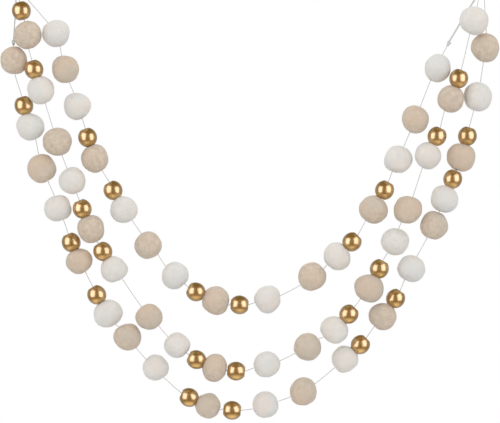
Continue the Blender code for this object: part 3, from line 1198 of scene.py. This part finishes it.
# %% [markdown]
# ## The room and its lights
#
# The photo is lit by a bright white room with two large soft boxes in front, one on each side: they
# show as two cream spots on every gold bead. The felt, which is matt, sees the whole room at once.
# A room could be built of walls, but then every bounce of light would take time. So the room is the
# world's light, split by kind of ray, and the soft boxes are two area lights.

# %% Nodes of the room
def spread(tree, value, low, high):
    """A share that goes from 0 to 1 as a value goes from low to high."""
    made = tree.nodes.new("ShaderNodeMapRange")
    made.inputs["From Min"].default_value = low
    made.inputs["From Max"].default_value = high
    tree.links.new(value, made.inputs["Value"])
    return made.outputs["Result"]


def glow(tree, colour, strength=1.0):
    """Light of one colour, or of a colour that comes out of another node."""
    made = tree.nodes.new("ShaderNodeBackground")
    made.inputs["Strength"].default_value = strength
    if isinstance(colour, tuple):
        made.inputs["Color"].default_value = (*colour, 1.0)
    else:
        tree.links.new(colour, made.inputs["Color"])
    return made.outputs["Background"]


def choose(tree, share, first, second):
    """The first light where the share is 0, and the second where it is 1."""
    made = tree.nodes.new("ShaderNodeMixShader")
    tree.links.new(share, made.inputs["Fac"])
    tree.links.new(first, made.inputs[1])
    tree.links.new(second, made.inputs[2])
    return made.outputs["Shader"]


# %% The room
# Heights run from -1, straight down, to 1, straight up. The felt's light has a brightness at each
# of some heights. What the gold reflects is dark in front, with a bright floor, a dim warm ceiling
# and a grey wall behind, each of which sets in between two heights or depths.
FELT_BRIGHT = 0.95
FELT_LIGHT = ((-1.0, 0.80), (-0.2, 0.97), (0.2, 1.03), (1.0, 0.97))
ROOM_DARK = (0.30, 0.225, 0.125)
ROOM_LOW = (1.25, 1.12, 0.98)
LOW_FROM_TO = (-0.60, -0.95)
ROOM_BACK = (0.46, 0.45, 0.48)
BACK_FROM_TO = (0.0, 0.6)
ROOM_TOP = (0.25, 0.18, 0.07)
TOP_FROM_TO = (0.4, 0.85)


def white_room():
    """White for the eye, even light for the felt, and a darker room for gold to reflect."""
    world = bpy.data.worlds.new("white_room")
    world.use_nodes = True
    tree = world.node_tree
    tree.nodes.clear()
    rays = tree.nodes.new("ShaderNodeLightPath")
    where = tree.nodes.new("ShaderNodeTexCoord")
    split = tree.nodes.new("ShaderNodeSeparateXYZ")
    tree.links.new(where.outputs["Generated"], split.inputs["Vector"])
    height, depth = split.outputs["Z"], split.outputs["Y"]
    bands = [((at + 1.0) / 2, grey(bright)) for at, bright in FELT_LIGHT]
    felt_light = glow(tree, ramp(tree, spread(tree, height, -1.0, 1.0), bands), FELT_BRIGHT)
    gold_light = glow(tree, ROOM_DARK)
    for way, from_to, colour in (
        (height, LOW_FROM_TO, ROOM_LOW),
        (depth, BACK_FROM_TO, ROOM_BACK),
        (height, TOP_FROM_TO, ROOM_TOP),
    ):
        gold_light = choose(tree, spread(tree, way, *from_to), gold_light, glow(tree, colour))
    lit = choose(tree, rays.outputs["Is Glossy Ray"], felt_light, gold_light)
    seen = choose(tree, rays.outputs["Is Camera Ray"], lit, glow(tree, grey(1.0)))
    out = tree.nodes.new("ShaderNodeOutputWorld")
    tree.links.new(seen, out.inputs["Surface"])
    return world


bpy.context.scene.world = white_room()
print("nodes in the room:", len(bpy.context.scene.world.node_tree.nodes))

# %% Soft boxes
# Each row is one light: how far round the garland's middle and how far up it stands, in degrees, how
# far away, how wide and tall, in metres, how bright, and whether it lights the felt or the gold.
SoftBox = namedtuple("SoftBox", "name turn rise away wide tall bright felt")
SOFT_BOXES = (
    SoftBox("glint_left", -53.0, 10.0, 1.2, 1.15, 1.5, 2.1, False),
    SoftBox("glint_right", 53.0, 10.0, 1.2, 1.15, 1.5, 2.1, False),
    SoftBox("front_wash", 0.0, 35.0, 2.4, 1.6, 1.2, 0.9, True),
)
SOFT_WHITE = (1.0, 1.0, 1.0)
COOL_WHITE = (0.95, 0.94, 1.38)


def soft_box(box):
    """An area light that faces the garland's middle."""
    data = bpy.data.lights.new(box.name, "AREA")
    data.color = SOFT_WHITE if box.felt else COOL_WHITE
    data.shape = "RECTANGLE"
    data.size = box.wide
    data.size_y = box.tall
    data.energy = math.pi * box.wide * box.tall * box.bright
    a, e = math.radians(box.turn), math.radians(box.rise)
    way = Vector((math.sin(a) * math.cos(e), -math.cos(a) * math.cos(e), math.sin(e)))
    light = bpy.data.objects.new(box.name, data)
    light.location = VIEW_MIDDLE + way * box.away
    light.rotation_euler = way.to_track_quat("Z", "Y").to_euler()
    light.visible_camera = False
    light.visible_diffuse = box.felt
    light.visible_glossy = not box.felt
    bpy.context.collection.objects.link(light)
    return light


for box in SOFT_BOXES:
    print(soft_box(box).name, "stands", box.away, "m away")

# %% [markdown]
# ## The floor
#
# The photo shows no floor, only white behind the garland. But a real one hangs over a floor, which
# throws light back up at the felt. A wide sheet of pale paper, well below the picture, does that.

# %% Floor
FLOOR_HEIGHT = -0.62
FLOOR_HALF = 2.6
FLOOR_CORNERS = ((-1, -1), (1, -1), (1, 1), (-1, 1))
PAPER_GRAIN = 3.0
PAPER_DEEP = 0.78
PAPER_PALE = 0.80


def floor_finish():
    """Pale paper."""
    made, shader, tree = new_finish("floor_paper")
    shader.inputs["Roughness"].default_value = 1.0
    tones = [(0.0, grey(PAPER_DEEP)), (1.0, grey(PAPER_PALE))]
    tree.links.new(ramp(tree, noise(tree, PAPER_GRAIN, 2.0), tones), shader.inputs["Base Color"])
    return made


floor = new_piece(
    "floor",
    [(VIEW_MIDDLE.x + x * FLOOR_HALF, y * FLOOR_HALF, FLOOR_HEIGHT) for x, y in FLOOR_CORNERS],
    [(0, 1, 2, 3)],
    floor_finish(),
    smooth=False,
)
floor.visible_glossy = False
floor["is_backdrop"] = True
print("floor below the pegs in m:", -FLOOR_HEIGHT)

# %% Sizes for comparing, and the end
low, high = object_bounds()
for name, a, b, c, d in zip("XYZ", cad_low, cad_high, low, high):
    print(name, "CAD", round(a / MM, 1), round(b / MM, 1), "looks", round(c / MM, 1), round(d / MM, 1))
